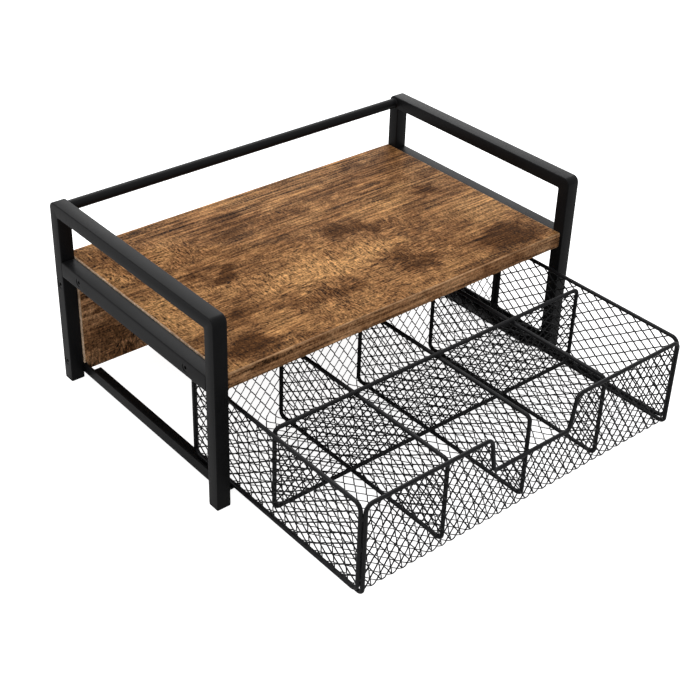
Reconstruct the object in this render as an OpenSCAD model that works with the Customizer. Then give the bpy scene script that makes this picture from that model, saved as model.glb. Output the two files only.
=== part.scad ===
/* [Stand] */
// Width over the two side frames
stand_w = 332; // [300:1:370]
// Depth of the side frames, front to back
stand_d = 200; // [180:1:230]
// Height from the table to the top of the side rails
stand_h = 150; // [140:1:180]
// Height of the shelf's top face above the table
shelf_h = 105; // [95:1:115]
// Setback of the shelf's front edge behind the legs' front face
shelf_setback = 2; // [0:0.5:5]
// Thickness of the shelf board and of the back panel
board_t = 12; // [9:0.5:16]
// Gap between the table and the back panel's bottom edge
panel_lift = 7; // [5:0.5:12]

/* [Tubes] */
// Tube size across the stand
tube_w = 11; // [9:0.5:14]
// Tube size in the plane of the side frame
tube_t = 10; // [9:0.5:13]
// Wall thickness of the tubes
tube_wall = 1.5; // [1.2:0.1:2]
// Outer radius of the side frame's upper corners
corner_r = 5; // [3:0.5:8]
// Height of the tube that carries the shelf
shelf_rail_h = 12; // [10:0.5:14]
// Step from the shelf's top face down to the top of that tube
shelf_rail_drop = 1; // [0:0.5:2]
// Diameter of the rod across the back
rod_d = 8; // [6:0.5:9]
// Distance from the top of the side rails down to the rod's centre
rod_drop = 6; // [5:0.5:7]
// Thickness of the sole of each foot plug
sole_t = 1; // [0.8:0.1:3]
// Height of the peg of each foot plug
plug_h = 12; // [8:1:20]

/* [Runners] */
// Height of the runner's underside above the table
runner_z = 3; // [2:0.5:5]
// Sheet thickness of the runner
runner_t = 1.5; // [1:0.1:2]
// Width of the ledge that the drawer slides on
runner_w = 13; // [11:0.5:16]
// Height of the runner's upright wall
runner_h = 10; // [8:0.5:14]
// Setback of the runner's ends from the legs' outer faces
runner_setback = 3; // [1:0.5:5]

/* [Screws] */
// Diameter of the screw shaft
screw_d = 3.4; // [3:0.1:4]
// Diameter of the countersunk head
screw_head_d = 6; // [5.4:0.1:6.5]
// Height of the countersunk head
screw_head_h = 1.4; // [1:0.1:1.6]
// Length of the screw over its head
screw_len = 28; // [22:1:36]
// Width of the hexagon socket across its corners
socket_d = 2.9; // [2.3:0.1:3.2]
// Depth of the hexagon socket
socket_h = 1.2; // [0.8:0.1:1.6]
// Distance of the shelf screws from the legs' outer faces
shelf_screw_in = 33; // [22:1:45]
// Distance of the panel screws from the panel's upper and lower edges
panel_screw_in = 9.5; // [9:0.5:16]

/* [Drawer] */
// How far the drawer stands out of the stand at rest
drawer_pull = 125; // [40:1:140]
// Gap between the drawer's outer wires and the runner's wall on each side
drawer_side_gap = 5; // [2:0.5:6]
// Gap between the drawer's rear and the back panel when it is shut
drawer_back_gap = 7; // [3:0.5:15]
// Gap between the drawer's top and the shelf's underside
drawer_head_gap = 15.2; // [5:0.1:20]
// Gap between the drawer's lowest wires and the runner's ledge
glide_gap = 0.3; // [0.1:0.05:0.6]
// Diameter of the drawer's wires
wire_d = 3; // [2.4:0.1:3.4]
// Bend radius of the upper corners of the frame wires and side wires
wire_bend_r = 8; // [5:0.5:10]
// Bend radius of the frame wires' lower corners and of the divider wires
tight_bend_r = 5; // [4:0.5:7]
// Width of the handle notch at its top
notch_top_w = 80; // [74:1:110]
// Width of the handle notch at its bottom
notch_bottom_w = 71; // [50:1:73]
// Depth of the handle notch
notch_depth = 27.5; // [22:0.5:34]

/* [Dividers] */
// Drop of the long dividers' top wires below the drawer's top wires
divider_drop = 3.5; // [3.5:0.1:12]
// Distance between the drawer's front wire and the long dividers' front wires
divider_front_gap = 5; // [4:0.5:10]
// Distance between the drawer's rear wire and the long dividers' rear wires
divider_back_gap = 3.5; // [3.3:0.1:10]
// Distance between the drawer's side wires and the cross divider's ends
cross_end_gap = 5; // [4:0.5:10]
// Distance of the cross divider behind the drawer's front wire
cross_setback = 92.5; // [70:0.5:110]

/* [Mesh] */
// Thickness of the mesh
mesh_t = 1; // [0.6:0.1:1.4]
// Width of a mesh strand
strand_w = 1; // [0.7:0.1:1.4]
// Width of the mesh's closed edge
edge_w = 0.8; // [0.6:0.1:1.5]
// Long way of a diamond in the side and divider meshes
diamond_long = 12.8; // [11:0.1:20]
// Short way of a diamond in the side and divider meshes
diamond_short = 8.5; // [7.5:0.1:12]
// Short way of a diamond in the front and rear meshes
front_diamond_w = 10.3; // [9.5:0.1:16]
// Long way of a diamond in the front and rear meshes
front_diamond_h = 15.5; // [13:0.1:22]
// Short way of a diamond in the floor mesh
floor_diamond_w = 15.2; // [14:0.1:24]
// Long way of a diamond in the floor mesh
floor_diamond_l = 23.7; // [21:0.1:36]
// Short way of a diamond in the cross divider's mesh
cross_diamond_h = 9.9; // [9:0.1:14]
// Radius of the bend from the front and rear meshes into the floor mesh
sheet_bend_r = 6; // [4:0.5:8]
// Gap between a mesh and the wires that frame it
mesh_gap = 0.3; // [0.2:0.05:0.5]
// Clearance between two pieces that are welded or screwed together
fit_gap = 0.1; // [0.05:0.05:0.2]

/* [Hidden] */

$fn = 48;
frame_colour = "#2a2b2d";
wire_colour = "#1d1d1f";
mesh_colour = "#3a3b3e";
screw_colour = "#515256";
plug_colour = "#141414";
board_colour = "#8b5c36";

// The origin lies on the table, in the middle of the drawn-out object
front_y = -(stand_d + drawer_pull) / 2;
stand_y = front_y + drawer_pull;
back_y = stand_y + stand_d;

// Stand
bay_w = stand_w - 2 * tube_w;
shelf_under_z = shelf_h - board_t;
shelf_rail_z = shelf_h - shelf_rail_drop - shelf_rail_h;
leg_y = [stand_y + tube_t / 2, back_y - tube_t / 2];
panel_y = back_y - board_t;
panel_h = shelf_under_z - panel_lift;
runner_top = runner_z + runner_t;
shelf_screw_at = [
    [stand_y + shelf_screw_in, shelf_rail_z + shelf_rail_h / 2],
    [back_y - shelf_screw_in, shelf_rail_z + shelf_rail_h / 2]
];
panel_screw_at = [
    [leg_y[1], panel_lift + panel_screw_in],
    [leg_y[1], shelf_under_z - panel_screw_in]
];
overrun = tube_wall;

// Drawer: places of the wires' centre lines
wire_r = wire_d / 2;
pair_step = (wire_d + fit_gap) / sqrt(2);
drawer_w = bay_w - 2 * (runner_t + drawer_side_gap);
drawer_d = stand_d - board_t - drawer_back_gap;
frame_front_y = front_y + wire_r;
frame_back_y = front_y + drawer_d - wire_r;
frame_bottom_z = runner_top + glide_gap + wire_r;
frame_top_z = shelf_under_z - drawer_head_gap - wire_r;
side_x = drawer_w / 2 - wire_r;
frame_x = side_x - pair_step;
side_front_y = frame_front_y + pair_step;
side_len = drawer_d - wire_d - 2 * pair_step;
side_z = frame_bottom_z + pair_step;
side_h = frame_top_z - side_z;
frame_h = frame_top_z - frame_bottom_z;
half_run = (frame_back_y - frame_front_y) / 2;
// How much wider than the wire the bead is that closes the joint at each end of a slanted bend
bead_gain = fit_gap / 2;

// Dividers
divider_step = side_x / 2;
divider_y = frame_front_y + divider_front_gap;
divider_len = frame_back_y - divider_back_gap - divider_y;
divider_z = frame_bottom_z + mesh_t / 2 + fit_gap + wire_r;
divider_h = frame_top_z - divider_drop - divider_z;
cross_y = frame_front_y + cross_setback;
cross_len = 2 * (side_x - cross_end_gap);
cross_z = divider_z + wire_d + fit_gap;

// Mesh
frame_clear = wire_r + mesh_gap;
bend_y = frame_front_y + sheet_bend_r;
bend_z = frame_bottom_z + sheet_bend_r;
sheet_w = 2 * (frame_x - frame_clear);
sheet_h = frame_top_z - frame_clear - bend_z;
floor_len = 2 * (half_run - sheet_bend_r);
sheet_cols = round((sheet_w - 2 * edge_w) / front_diamond_w);
sheet_rows = round((sheet_h - edge_w) / front_diamond_h);
sheet_pitch = (sheet_w - 2 * edge_w) / sheet_cols;
sheet_row_h = (sheet_h - edge_w) / sheet_rows;
sheet_open_w = open_share(sheet_pitch, sheet_row_h) * sheet_pitch / 2;
sheet_open_h = open_share(sheet_pitch, sheet_row_h) * sheet_row_h / 2;
bend_tip = open_share(sheet_pitch, sheet_bend_r * PI / 2) * sheet_bend_r / sqrt(2);
bend_reach = sheet_bend_r + mesh_t;
slot_w = mesh_t + 2 * mesh_gap;
wire_slot_w = wire_d + 2 * mesh_gap;
crossing_z = (cross_z + divider_z + divider_h) / 2;
notch_slope = (notch_top_w - notch_bottom_w) / (2 * notch_depth);
notch_turn = 90 - atan(notch_slope);
notch_floor = frame_top_z - notch_depth - bend_z;

// Whether a place on the front sheet, from its middle and its lower edge, lies in the notch
function in_notch(u, v) =
    v > notch_floor - frame_clear - edge_w
    && abs(u) < notch_bottom_w / 2 + frame_clear + edge_w + (v - notch_floor) * notch_slope;

// Puts a piece that is drawn for the right-hand side on both sides or on one
module on_side(side) {
    mirror([side == "left" ? 1 : 0, 0, 0]) children();
}

module on_both_sides() {
    children();
    on_side("left") children();
}

// Turns a flat drawing so that its first axis runs to the back and its second axis up
module along_depth() {
    rotate([90, 0, 90]) children();
}

// Turns a flat drawing so that its first axis runs across and its second axis up
module across() {
    rotate([90, 0, 0]) children();
}

// Outline of a side frame, drawn inwards by the inset, with rounded upper corners
module frame_outline(inset) {
    r = corner_r - inset;
    translate([inset, -overrun]) square([stand_d - 2 * inset, stand_h - inset - r + overrun]);
    translate([inset + r, 0]) square([stand_d - 2 * (inset + r), stand_h - inset]);
    for (u = [inset + r, stand_d - inset - r]) translate([u, stand_h - inset - r]) circle(r);
}

// Leg up to the mitre at the upper corner
module leg_profile(inset, foot) {
    intersection() {
        frame_outline(inset);
        polygon([
            [inset, foot], [tube_t - inset, foot],
            [tube_t - inset, stand_h - tube_t + inset], [inset, stand_h - inset]
        ]);
    }
}

// Top rail between the mitres
module rail_profile(inset) {
    intersection() {
        frame_outline(inset);
        polygon([
            [tube_t - inset, stand_h - tube_t + inset],
            [stand_d - tube_t + inset, stand_h - tube_t + inset],
            [stand_d - inset, stand_h - inset], [inset, stand_h - inset]
        ]);
    }
}

// Countersunk socket screw, its head flush at the origin and its shaft along +Z
module screw() {
    difference() {
        union() {
            cylinder(h = screw_head_h, d1 = screw_head_d, d2 = screw_d);
            translate([0, 0, screw_head_h]) cylinder(h = screw_len - screw_head_h, d = screw_d);
        }
        cylinder(h = socket_h, d = socket_d, $fn = 6);
    }
}

// Hole that the screw goes through, with its countersink
module screw_hole() {
    wide = 2 * fit_gap;
    cylinder(h = screw_head_h, d1 = screw_head_d + wide, d2 = screw_d + wide);
    cylinder(h = screw_len + overrun, d = screw_d + wide);
}

// Turns a screw at the right-hand outer face to point inwards
module screw_places(places) {
    for (place = places)
        translate([stand_w / 2, place[0], place[1]]) rotate([0, -90, 0]) children();
}

module front_leg(side) {
    color(frame_colour) on_side(side)
        translate([stand_w / 2 - tube_w, stand_y, 0]) along_depth()
            difference() {
                linear_extrude(tube_w) leg_profile(0, sole_t);
                translate([0, 0, tube_wall]) linear_extrude(tube_w - 2 * tube_wall)
                    leg_profile(tube_wall, 0);
            }
}

module rear_leg(side) {
    color(frame_colour) on_side(side) difference() {
        translate([stand_w / 2 - tube_w, back_y, 0]) mirror([0, 1, 0]) along_depth()
            difference() {
                linear_extrude(tube_w) leg_profile(0, sole_t);
                translate([0, 0, tube_wall]) linear_extrude(tube_w - 2 * tube_wall)
                    leg_profile(tube_wall, 0);
            }
        screw_places(panel_screw_at) screw_hole();
    }
}

module top_rail(side) {
    color(frame_colour) on_side(side)
        translate([stand_w / 2 - tube_w, stand_y, 0]) along_depth()
            difference() {
                linear_extrude(tube_w) rail_profile(0);
                translate([0, 0, tube_wall]) linear_extrude(tube_w - 2 * tube_wall)
                    rail_profile(tube_wall);
            }
}

module shelf_rail(side) {
    color(frame_colour) on_side(side) difference() {
        translate([stand_w / 2 - tube_w, stand_y + tube_t, shelf_rail_z])
            cube([tube_w, stand_d - 2 * tube_t, shelf_rail_h]);
        translate([bay_w / 2 + tube_wall, stand_y + tube_t - overrun, shelf_rail_z + tube_wall])
            cube([
                tube_w - 2 * tube_wall, stand_d - 2 * tube_t + 2 * overrun,
                shelf_rail_h - 2 * tube_wall
            ]);
        screw_places(shelf_screw_at) screw_hole();
    }
}

module foot_plugs() {
    peg_gap = tube_wall + fit_gap;
    color(plug_colour) on_both_sides() for (y = leg_y)
        translate([stand_w / 2 - tube_w, y - tube_t / 2, 0]) {
            cube([tube_w, tube_t, sole_t]);
            translate([peg_gap, peg_gap, sole_t])
                cube([tube_w - 2 * peg_gap, tube_t - 2 * peg_gap, plug_h]);
        }
}

module drawer_runner(side) {
    wall_len = stand_d - 2 * runner_setback;
    ledge_len = stand_d - tube_t - board_t;
    color(frame_colour) on_side(side) {
        translate([bay_w / 2 - runner_t, stand_y + runner_setback, runner_z])
            cube([runner_t, wall_len, runner_h]);
        translate([bay_w / 2 - runner_w, stand_y + tube_t, runner_z])
            cube([runner_w, ledge_len, runner_t]);
    }
}

module back_rod() {
    color(frame_colour) translate([-bay_w / 2, leg_y[1], stand_h - rod_drop])
        rotate([0, 90, 0]) cylinder(h = bay_w, d = rod_d);
}

module shelf_board() {
    color(board_colour) difference() {
        translate([-bay_w / 2, stand_y + shelf_setback, shelf_under_z])
            cube([bay_w, stand_d - shelf_setback, board_t]);
        on_both_sides() screw_places(shelf_screw_at) screw_hole();
    }
}

// The lower corners step in to clear the runners' walls
module back_panel() {
    step_w = runner_t + mesh_gap;
    step_h = runner_z + runner_h + mesh_gap - panel_lift;
    color(board_colour) difference() {
        translate([-bay_w / 2, panel_y, panel_lift]) cube([bay_w, board_t, panel_h]);
        on_both_sides() translate([bay_w / 2 - step_w, panel_y - overrun, panel_lift - overrun])
            cube([step_w + overrun, board_t + 2 * overrun, step_h + overrun]);
        on_both_sides() screw_places(panel_screw_at) screw_hole();
    }
}

module shelf_screws() {
    color(screw_colour) on_both_sides() screw_places(shelf_screw_at) screw();
}

module panel_screws() {
    color(screw_colour) on_both_sides() screw_places(panel_screw_at) screw();
}

// Bent wire from the origin along +Z: each step is a straight run, the turn that follows it,
// the direction of that turn about the wire and its radius
module bent_wire(steps, i = 0) {
    if (i < len(steps)) {
        run = steps[i][0];
        turn = steps[i][1];
        roll = steps[i][2];
        r = steps[i][3];
        cylinder(h = run, d = wire_d);
        translate([0, 0, run]) rotate([0, 0, roll]) translate([r, 0, 0]) {
            if (turn > 0) across()
                rotate_extrude(angle = turn, start = 180 - turn)
                    translate([r, 0]) circle(d = wire_d);
            if (turn > 0 && turn != 90) for (a = [0, turn])
                rotate([0, a, 0]) translate([-r, 0, 0]) sphere(d = wire_d + bead_gain);
            rotate([0, turn, 0]) translate([-r, 0, 0]) bent_wire(steps, i + 1);
        }
    }
}

// Closed wire of the given centre-line size, from the origin to the right and up
module wire_loop(w, h, r) {
    rise = [h - 2 * r, 90, 0, r];
    reach = [w - 2 * r, 90, 0, r];
    translate([0, 0, r]) bent_wire([rise, reach, rise, reach]);
}

// Length that a bend takes from the straight runs beside it
function bend_len(r, turn) = r * tan(turn / 2);

// Half of the drawer's frame: along one side's bottom, up, across the top and back down
module frame_wire(top_steps) {
    low = [half_run - tight_bend_r, 90, 0, tight_bend_r];
    upright = frame_h - tight_bend_r - wire_bend_r;
    up = [upright, 90, -90, wire_bend_r];
    down = [upright, 90, 90, tight_bend_r];
    last = [half_run - tight_bend_r, 0, 0, 0];
    translate([-frame_x, 0, frame_bottom_z]) rotate([90, 0, 0]) rotate([0, 0, 90])
        bent_wire(concat([low, up], top_steps, [down, last]));
}

// The front wire dips round the handle notch
module front_frame_wire() {
    side_run = frame_x - wire_bend_r - notch_top_w / 2 - bend_len(wire_bend_r, notch_turn);
    flank = norm([(notch_top_w - notch_bottom_w) / 2, notch_depth])
        - bend_len(wire_bend_r, notch_turn) - bend_len(tight_bend_r, notch_turn);
    base = notch_bottom_w - 2 * bend_len(tight_bend_r, notch_turn);
    color(wire_colour) translate([0, frame_front_y + half_run, 0]) frame_wire([
        [side_run, notch_turn, 0, wire_bend_r],
        [flank, notch_turn, 180, tight_bend_r],
        [base, notch_turn, 0, tight_bend_r],
        [flank, notch_turn, 180, wire_bend_r],
        [side_run, 90, 0, wire_bend_r]
    ]);
}

module rear_frame_wire() {
    color(wire_colour) translate([0, frame_front_y + half_run, 0]) mirror([0, 1, 0])
        frame_wire([[2 * (frame_x - wire_bend_r), 90, 0, wire_bend_r]]);
}

module side_wire(side) {
    color(wire_colour) on_side(side) translate([side_x, side_front_y, side_z])
        rotate([0, 0, 90]) wire_loop(side_len, side_h, wire_bend_r);
}

module divider_wire(x) {
    color(wire_colour) translate([x, divider_y, divider_z])
        rotate([0, 0, 90]) wire_loop(divider_len, divider_h, tight_bend_r);
}

module cross_divider_wire() {
    color(wire_colour) translate([-cross_len / 2, cross_y, cross_z])
        wire_loop(cross_len, divider_h, tight_bend_r);
}

// Rectangle with rounded corners, drawn inwards by the inset
module panel_outline(w, h, r, inset) {
    ri = r - inset;
    translate([inset + ri, inset]) square([w - 2 * (inset + ri), h - 2 * inset]);
    translate([inset, inset + ri]) square([w - 2 * inset, h - 2 * (inset + ri)]);
    for (u = [inset + ri, w - inset - ri], v = [inset + ri, h - inset - ri])
        translate([u, v]) circle(ri);
}

// Share of its pitch that the opening of a diamond takes, once the strands have their width
function open_share(pu, pv) = 1 - strand_w * norm([pu, pv]) / (pu * pv);

module diamond(pu, pv) {
    u = open_share(pu, pv) * pu / 2;
    v = open_share(pu, pv) * pv / 2;
    polygon([[u, 0], [0, v], [-u, 0], [0, -v]]);
}

// Staggered diamonds over a rectangle, whole or halved at its edges, none at its corners,
// none below the first row and none with its middle in the notch that the front sheet has
module diamonds(w, h, cols, rows, first_row = 0, notched = false) {
    pu = w / cols;
    pv = h / rows;
    for (i = [0 : cols], j = [first_row : rows])
        if ((i > 0 && i < cols) || (j > 0 && j < rows))
            if (!notched || !in_notch(i * pu - w / 2, j * pv))
                translate([i * pu, j * pv]) diamond(pu, pv);
    for (i = [0 : cols - 1], j = [0 : rows - 1])
        if (!notched || !in_notch((i + 1 / 2) * pu - w / 2, (j + 1 / 2) * pv))
            translate([(i + 1 / 2) * pu, (j + 1 / 2) * pv]) diamond(pu, pv);
}

// Slots from a mesh's edge to half way, wide enough at the edge for the other mesh's wire
module crossing_slots(places, depth, mouth, grow) {
    for (u = places) translate([u, 0]) {
        translate([-slot_w / 2 - grow, -overrun]) square([slot_w + 2 * grow, depth + overrun + grow]);
        translate([-wire_slot_w / 2 - grow, -overrun])
            square([wire_slot_w + 2 * grow, mouth + overrun + grow]);
    }
}

// Flat mesh that fills a wire loop: the loop's centre-line size, its bends and the diamonds' size
module mesh_panel(loop_w, loop_h, bend_r, long, short, places = [], depth = 0, mouth = 0) {
    w = loop_w - 2 * frame_clear;
    h = loop_h - 2 * frame_clear;
    r = bend_r - frame_clear;
    cols = round((w - 2 * edge_w) / long);
    rows = round((h - 2 * edge_w) / short);
    translate([frame_clear, frame_clear]) difference() {
        panel_outline(w, h, r, 0);
        crossing_slots(places, depth, mouth, 0);
        intersection() {
            translate([edge_w, edge_w]) diamonds(w - 2 * edge_w, h - 2 * edge_w, cols, rows);
            difference() {
                panel_outline(w, h, r, edge_w);
                crossing_slots(places, depth, mouth, edge_w);
            }
        }
    }
}

module side_mesh(side) {
    color(mesh_colour) on_side(side) translate([side_x - mesh_t / 2, side_front_y, side_z])
        along_depth() linear_extrude(mesh_t)
            mesh_panel(side_len, side_h, wire_bend_r, diamond_long, diamond_short);
}

// The slot from below lets the cross divider through
module divider_mesh(x) {
    low = divider_z + frame_clear;
    place = cross_y - divider_y - frame_clear;
    depth = crossing_z + mesh_gap - low;
    mouth = cross_z + frame_clear - low;
    color(mesh_colour) translate([x - mesh_t / 2, divider_y, divider_z])
        along_depth() linear_extrude(mesh_t) mesh_panel(
            divider_len, divider_h, tight_bend_r, diamond_long, diamond_short,
            [place], depth, mouth
        );
}

// The slots from above let the long dividers through
module cross_divider_mesh() {
    high = cross_z + divider_h - frame_clear;
    middle = cross_len / 2 - frame_clear;
    depth = high - crossing_z + mesh_gap;
    mouth = high - (divider_z + divider_h - frame_clear);
    color(mesh_colour) translate([-cross_len / 2, cross_y + mesh_t / 2, cross_z + divider_h])
        mirror([0, 0, 1]) mirror([0, 1, 0]) translate([0, mesh_t, 0]) across()
            linear_extrude(mesh_t) mesh_panel(
                cross_len, divider_h, tight_bend_r, diamond_long, cross_diamond_h,
                [middle - divider_step, middle, middle + divider_step], depth, mouth
            );
}

module floor_mesh() {
    cols = round((sheet_w - 2 * edge_w) / floor_diamond_w);
    rows = round((floor_len - 2 * edge_w) / floor_diamond_l);
    color(mesh_colour) translate([-sheet_w / 2, bend_y, frame_bottom_z - mesh_t / 2])
        linear_extrude(mesh_t) difference() {
            square([sheet_w, floor_len]);
            intersection() {
                translate([edge_w, edge_w])
                    diamonds(sheet_w - 2 * edge_w, floor_len - 2 * edge_w, cols, rows);
                translate([edge_w, edge_w]) square([sheet_w - 2 * edge_w, floor_len - 2 * edge_w]);
            }
        }
}

// What is left outside a rounded corner at the origin, for a body that lies to the upper right
module corner_waste(r, turn) {
    t = bend_len(r, turn);
    difference() {
        polygon([[0, 0], [t, 0], [t, r], [-t * cos(turn), t * sin(turn)]]);
        translate([t, r]) circle(r);
    }
}

// The handle notch, widened by the given margin on all its sides, seen from the sheet's middle
module notch_cut(margin, top) {
    low_r = tight_bend_r + margin;
    lip_r = wire_bend_r - margin;
    bottom = notch_floor - margin;
    rise = top - bottom;
    low_w = notch_bottom_w / 2 - margin * notch_slope + margin / sin(notch_turn);
    top_w = low_w + rise * notch_slope;
    t = bend_len(low_r, notch_turn);
    for (side = [0, 1]) mirror([side, 0]) {
        polygon([
            [0, bottom], [low_w - t, bottom],
            [low_w + t * cos(notch_turn), bottom + t * sin(notch_turn)],
            [top_w, top], [top_w, top + overrun], [0, top + overrun]
        ]);
        translate([low_w - t, bottom + low_r]) circle(low_r);
        translate([top_w, top]) mirror([0, 1]) corner_waste(lip_r, notch_turn);
    }
}

// Upright part of the front and rear meshes, drawn inwards by the inset on its closed edges
module sheet_outline(inset, notched) {
    r = wire_bend_r - frame_clear - inset;
    top = sheet_h - inset;
    translate([sheet_w / 2, 0]) difference() {
        translate([inset - sheet_w / 2, 0]) square([sheet_w - 2 * inset, top]);
        for (side = [0, 1]) mirror([side, 0])
            translate([inset - sheet_w / 2, top]) mirror([0, 1]) corner_waste(r, 90);
        if (notched) notch_cut(frame_clear + inset, top);
    }
}

// Openings of the upright part, whose lowest row runs on to the middle of the bend
module sheet_openings(notched) {
    lattice_w = sheet_w - 2 * edge_w;
    intersection() {
        translate([edge_w, 0]) {
            diamonds(lattice_w, sheet_h - edge_w, sheet_cols, sheet_rows, 1, notched);
            for (i = [1 : sheet_cols - 1]) translate([i * sheet_pitch, 0])
                polygon([[sheet_open_w, 0], [0, sheet_open_h], [-sheet_open_w, 0], [0, -bend_tip]]);
        }
        union() {
            sheet_outline(edge_w, notched);
            translate([edge_w, -sheet_bend_r]) square([lattice_w, sheet_bend_r + mesh_t]);
        }
    }
}

// Sheet from its side: the upright part and the quarter bend below it
module sheet_profile() {
    translate([-sheet_bend_r - mesh_t / 2, 0]) square([mesh_t, sheet_h]);
    intersection() {
        difference() {
            circle(sheet_bend_r + mesh_t / 2);
            circle(sheet_bend_r - mesh_t / 2);
        }
        translate([-bend_reach, -bend_reach]) square(bend_reach);
    }
}

// What the notch and the rounded corners take off the upright part
module sheet_waste(notched) {
    difference() {
        translate([-overrun, overrun]) square([sheet_w + 2 * overrun, sheet_h]);
        sheet_outline(0, notched);
    }
}

module bent_sheet(notched) {
    translate([0, bend_y, bend_z]) difference() {
        translate([-sheet_w / 2, 0, 0]) along_depth() linear_extrude(sheet_w) sheet_profile();
        translate([-sheet_w / 2, 0, 0]) across() linear_extrude(bend_reach) {
            sheet_openings(notched);
            sheet_waste(notched);
        }
        for (i = [1 : sheet_cols - 1]) translate([i * sheet_pitch - sheet_w / 2 + edge_w, 0, 0])
            mirror([0, 0, 1]) linear_extrude(bend_reach)
                polygon([[sheet_open_w, 0], [0, bend_tip], [-sheet_open_w, 0], [0, -bend_tip]]);
        for (i = [0 : sheet_cols - 1])
            translate([(i + 1 / 2) * sheet_pitch - sheet_w / 2 + edge_w, 0, 0])
                rotate([45, 0, 0]) across() linear_extrude(bend_reach)
                    polygon([[sheet_open_w, 0], [0, bend_tip], [-sheet_open_w, 0], [0, -bend_tip]]);
    }
}

module front_mesh() {
    color(mesh_colour) bent_sheet(true);
}

module rear_mesh() {
    color(mesh_colour) translate([0, 2 * (frame_front_y + half_run), 0])
        mirror([0, 1, 0]) bent_sheet(false);
}

front_leg("left");  // left_front_leg
front_leg("right");  // right_front_leg
rear_leg("left");  // left_rear_leg
rear_leg("right");  // right_rear_leg
top_rail("left");  // left_top_rail
top_rail("right");  // right_top_rail
shelf_rail("left");  // left_shelf_rail
shelf_rail("right");  // right_shelf_rail
drawer_runner("left");  // left_drawer_runner
drawer_runner("right");  // right_drawer_runner
back_rod();
shelf_board();
back_panel();
shelf_screws();
panel_screws();
foot_plugs();
front_frame_wire();
rear_frame_wire();
side_wire("left");  // left_side_wire
side_wire("right");  // right_side_wire
divider_wire(-divider_step);  // left_divider_wire
divider_wire(0);  // middle_divider_wire
divider_wire(divider_step);  // right_divider_wire
cross_divider_wire();
front_mesh();
floor_mesh();
rear_mesh();
side_mesh("left");  // left_side_mesh
side_mesh("right");  // right_side_mesh
divider_mesh(-divider_step);  // left_divider_mesh
divider_mesh(0);  // middle_divider_mesh
divider_mesh(divider_step);  // right_divider_mesh
cross_divider_mesh();
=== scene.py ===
import bpy
import bmesh
import math
import random
from mathutils import Matrix, Vector, noise


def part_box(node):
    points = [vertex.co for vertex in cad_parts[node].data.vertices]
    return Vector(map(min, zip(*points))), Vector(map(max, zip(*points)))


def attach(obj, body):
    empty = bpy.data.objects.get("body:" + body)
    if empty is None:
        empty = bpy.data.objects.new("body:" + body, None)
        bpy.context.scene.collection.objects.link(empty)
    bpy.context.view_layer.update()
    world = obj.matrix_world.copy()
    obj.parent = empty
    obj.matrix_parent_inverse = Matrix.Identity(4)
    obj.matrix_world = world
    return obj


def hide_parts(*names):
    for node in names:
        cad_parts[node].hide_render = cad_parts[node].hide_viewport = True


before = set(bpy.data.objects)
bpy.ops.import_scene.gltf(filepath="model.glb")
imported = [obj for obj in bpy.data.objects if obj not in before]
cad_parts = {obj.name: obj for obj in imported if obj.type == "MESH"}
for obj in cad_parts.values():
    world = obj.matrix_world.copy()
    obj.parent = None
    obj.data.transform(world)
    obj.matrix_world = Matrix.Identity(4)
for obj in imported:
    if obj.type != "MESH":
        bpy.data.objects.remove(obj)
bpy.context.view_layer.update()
scene = bpy.context.scene
mm = 0.001
noise.seed_set(7)       # or else the vector noise starts from the clock
print("frame loaded:", len(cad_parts), "nodes")


# Camera, at the place from which the photograph was taken

cameraView = {
    "place": (-0.56096, -0.61768, 0.59604),
    "turn": (58.265, -1.327, -39.320),
    "lens": 69.935,
    "sensor": 36,
    "shift": (0.0267, -0.0645),
    "near": 0.01,
    "far": 60,
}


def makeCamera():
    data = bpy.data.cameras.new("studioCamera")
    data.sensor_width = cameraView["sensor"]
    data.lens = cameraView["lens"]
    data.shift_x, data.shift_y = cameraView["shift"]
    data.clip_start = cameraView["near"]
    data.clip_end = cameraView["far"]
    camera = bpy.data.objects.new("studioCamera", data)
    scene.collection.objects.link(camera)
    camera.location = cameraView["place"]
    camera.rotation_euler = [math.radians(a) for a in cameraView["turn"]]
    scene.camera = camera


makeCamera()
print("camera placed")


# Node groups that several materials share

surfaceOutputs = [
    ("Colour", "NodeSocketColor"), ("Roughness", "NodeSocketFloat"), ("Height", "NodeSocketFloat"),
]


def newGroup(name, inputs, outputs):
    tree = bpy.data.node_groups.new(name, "ShaderNodeTree")
    for label, kind, value in inputs:
        socket = tree.interface.new_socket(name=label, in_out="INPUT", socket_type=kind)
        socket.default_value = value
    for label, kind in outputs:
        tree.interface.new_socket(name=label, in_out="OUTPUT", socket_type=kind)
    return tree, tree.nodes.new("NodeGroupInput"), tree.nodes.new("NodeGroupOutput")


# Links a socket to its source, or sets it where the source is a value
def feed(tree, socket, source):
    if isinstance(source, bpy.types.NodeSocket):
        tree.links.new(source, socket)
    else:
        socket.default_value = source


def addNode(tree, kind, sources=(), **values):
    node = tree.nodes.new(kind)
    for name, value in values.items():
        setattr(node, name, value)
    for name, source in dict(sources).items():
        feed(tree, node.inputs[name], source)
    return node


def addMath(tree, operation, a, b=0.0, clamp=False):
    node = addNode(tree, "ShaderNodeMath", {0: a, 1: b}, operation=operation, use_clamp=clamp)
    return node.outputs[0]


def addVector(tree, operation, a, b):
    return addNode(tree, "ShaderNodeVectorMath", {0: a, 1: b}, operation=operation).outputs[0]


# Adds up sockets, each times its weight
def addSum(tree, *parts):
    total = None
    for source, weight in parts:
        part = source if weight == 1 else addMath(tree, "MULTIPLY", source, weight)
        total = part if total is None else addMath(tree, "ADD", total, part)
    return total


def addBlend(tree, factor, a, b):
    return addNode(tree, "ShaderNodeMix", {0: factor, 2: a, 3: b}).outputs[0]


def addMix(tree, factor, a, b):
    return addNode(tree, "ShaderNodeMix", {0: factor, 6: a, 7: b}, data_type="RGBA").outputs[2]


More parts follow.
